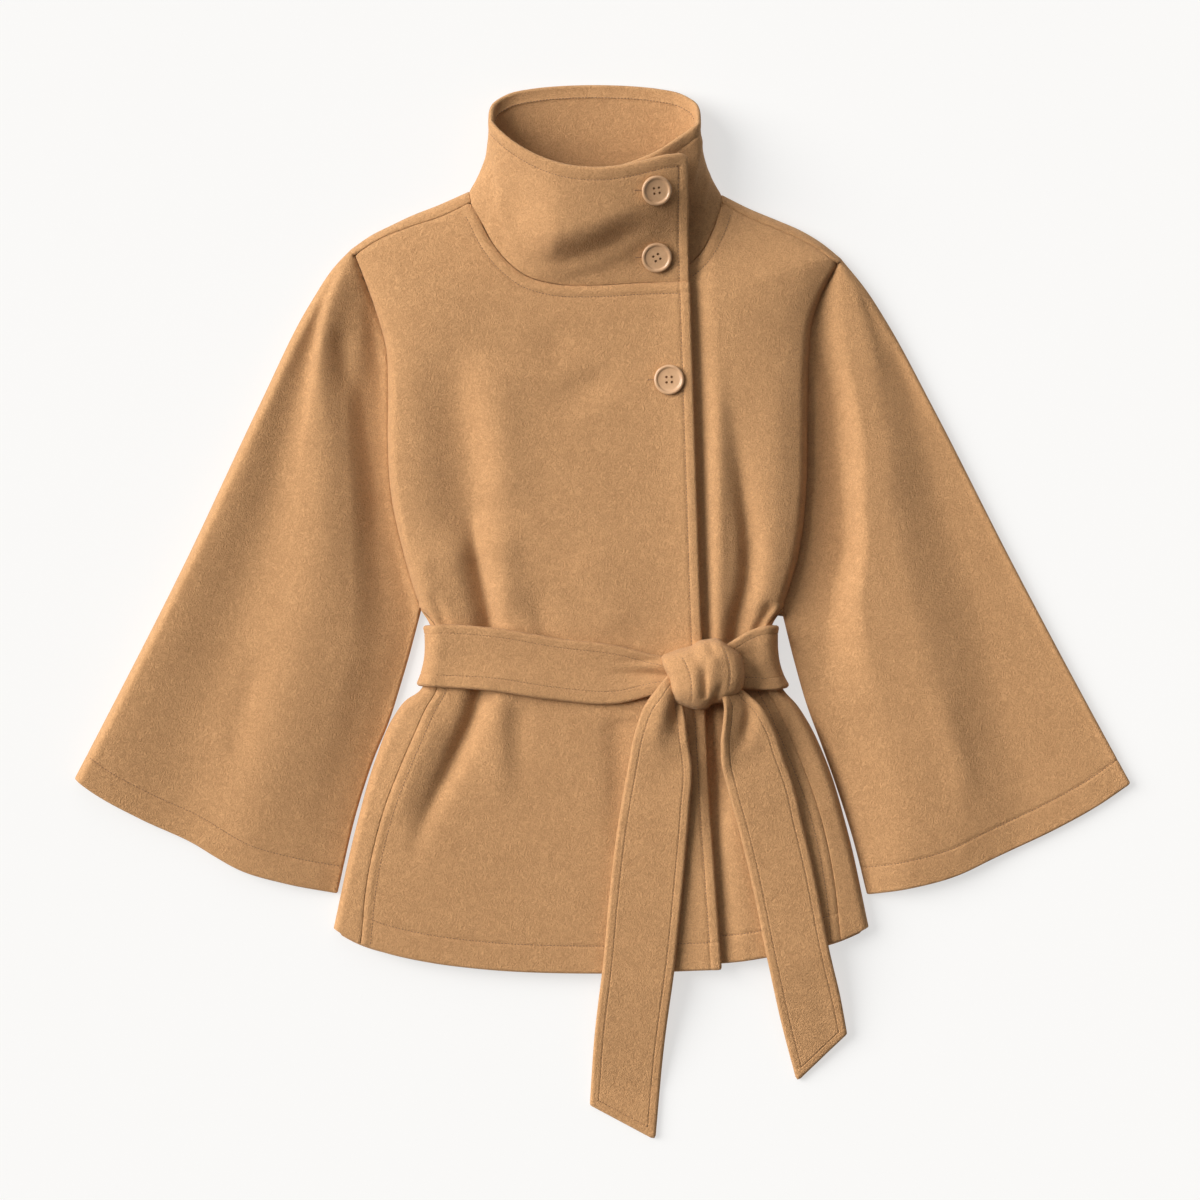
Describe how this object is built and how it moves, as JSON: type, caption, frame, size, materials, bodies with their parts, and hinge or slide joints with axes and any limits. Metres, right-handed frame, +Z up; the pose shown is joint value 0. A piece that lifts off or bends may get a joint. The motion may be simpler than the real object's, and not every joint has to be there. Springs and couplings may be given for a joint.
{
  "type": "belted wrap jacket",
  "caption": "Wool wrap jacket laid flat, with a tall open funnel collar, buttoned overlap, long sleeves and a knotted tie belt.",
  "frame": {"origin": "on the surface that the jacket lies on, under the middle of its bounding box", "axes": "+X to the right and +Y towards the collar in the view from above, where the wearer's left side is at +X; +Z up from the surface"},
  "size_m": [0.95, 0.9484, 0.072],
  "materials": {
    "wool": "camel wool melton with a short curly nap, matt",
    "button": "tan resin, satin, with a raised rim"
  },
  "bodies": {
    "root": {"back": "wool", "right_front": "wool", "left_front": "wool", "right_sleeve_front": "wool", "right_sleeve_back": "wool", "left_sleeve_front": "wool", "left_sleeve_back": "wool", "collar": "wool", "belt_waist": "wool", "belt_knot": "wool", "belt_tail_right": "wool", "belt_tail_left": "wool", "button_top": "button", "button_middle": "button", "button_lower": "button"}
  },
  "joints": []
}
